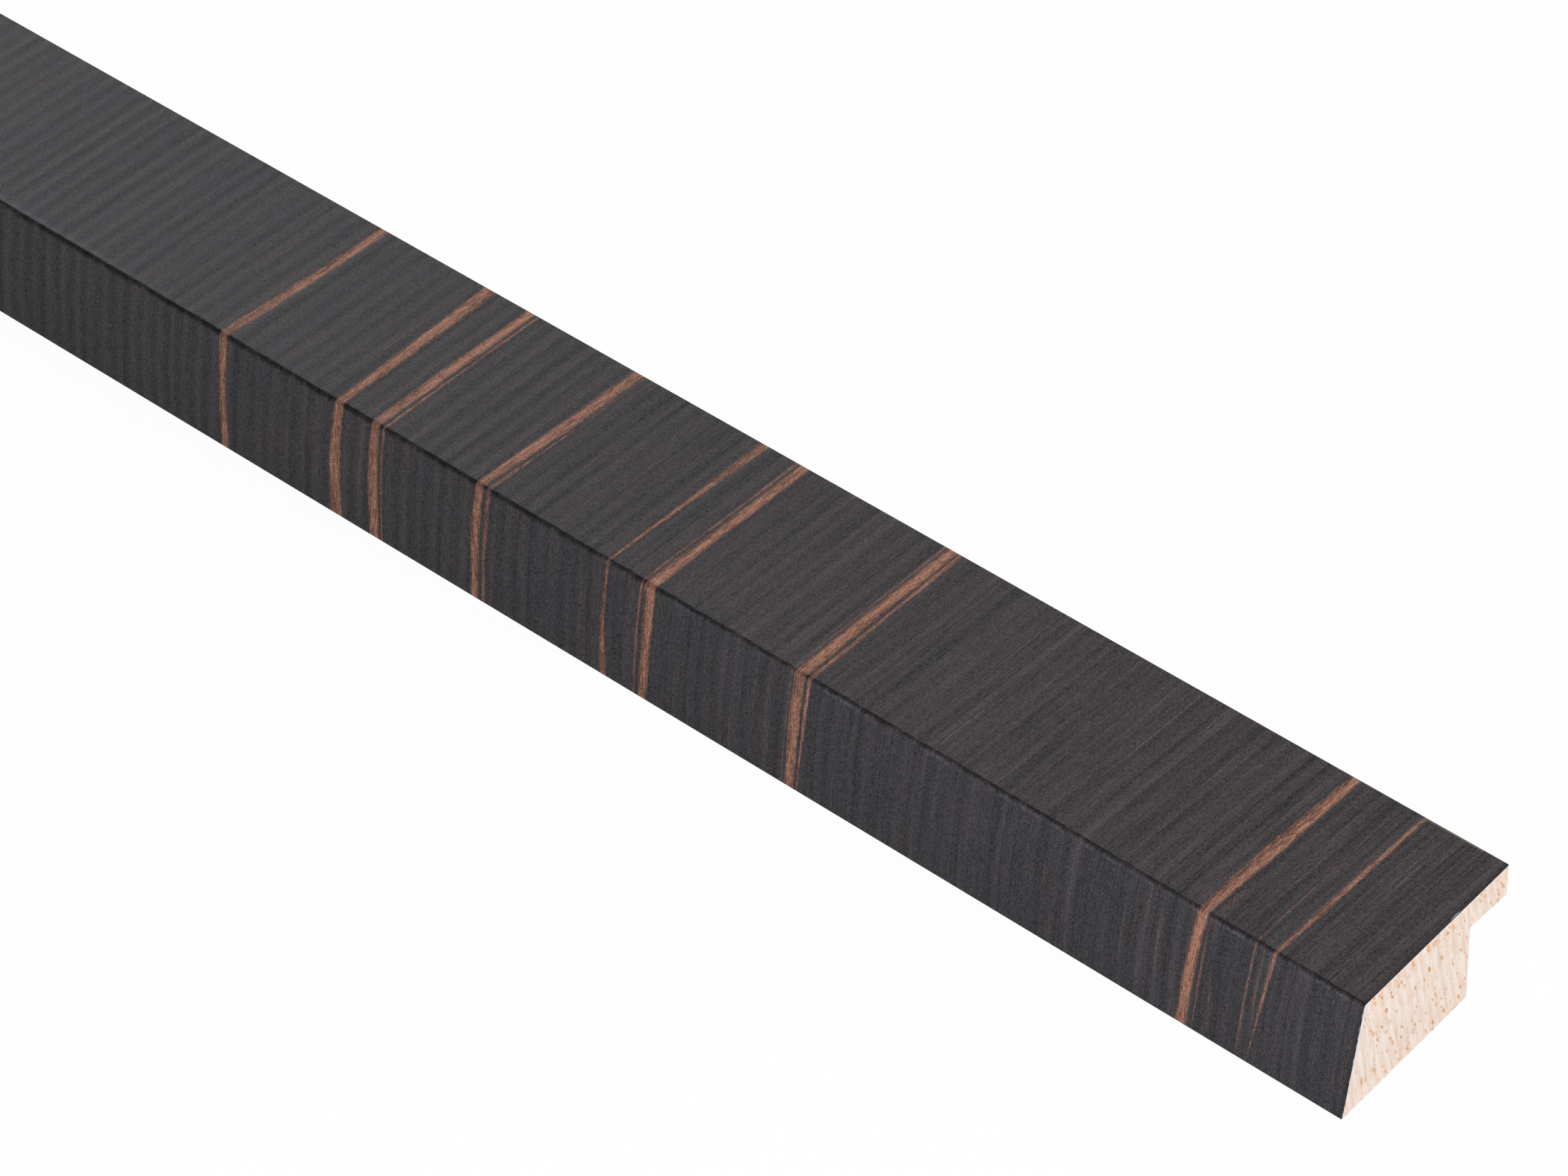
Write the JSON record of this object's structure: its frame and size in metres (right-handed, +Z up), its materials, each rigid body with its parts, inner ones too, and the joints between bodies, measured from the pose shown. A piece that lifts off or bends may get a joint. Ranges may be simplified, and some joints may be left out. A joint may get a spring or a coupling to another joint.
{
  "type": "picture frame moulding",
  "caption": "Straight stick of picture frame moulding: rabbeted wood core with a splayed outer side, wrapped over face and side in dark cross-grain veneer.",
  "frame": {"origin": "middle of the stick's length and of its overall width, on the flat back", "axes": "+X along the stick, +Y across it from the outer side to the sight edge over the rabbet, +Z up from the back to the face"},
  "size_m": [1.2, 0.0272, 0.0146],
  "materials": {
    "core_wood": "sawn and milled, bare",
    "ebony_veneer": "satin lacquer"
  },
  "bodies": {
    "root": {"wood_core": "core_wood", "veneer_wrap": "ebony_veneer"}
  },
  "joints": []
}
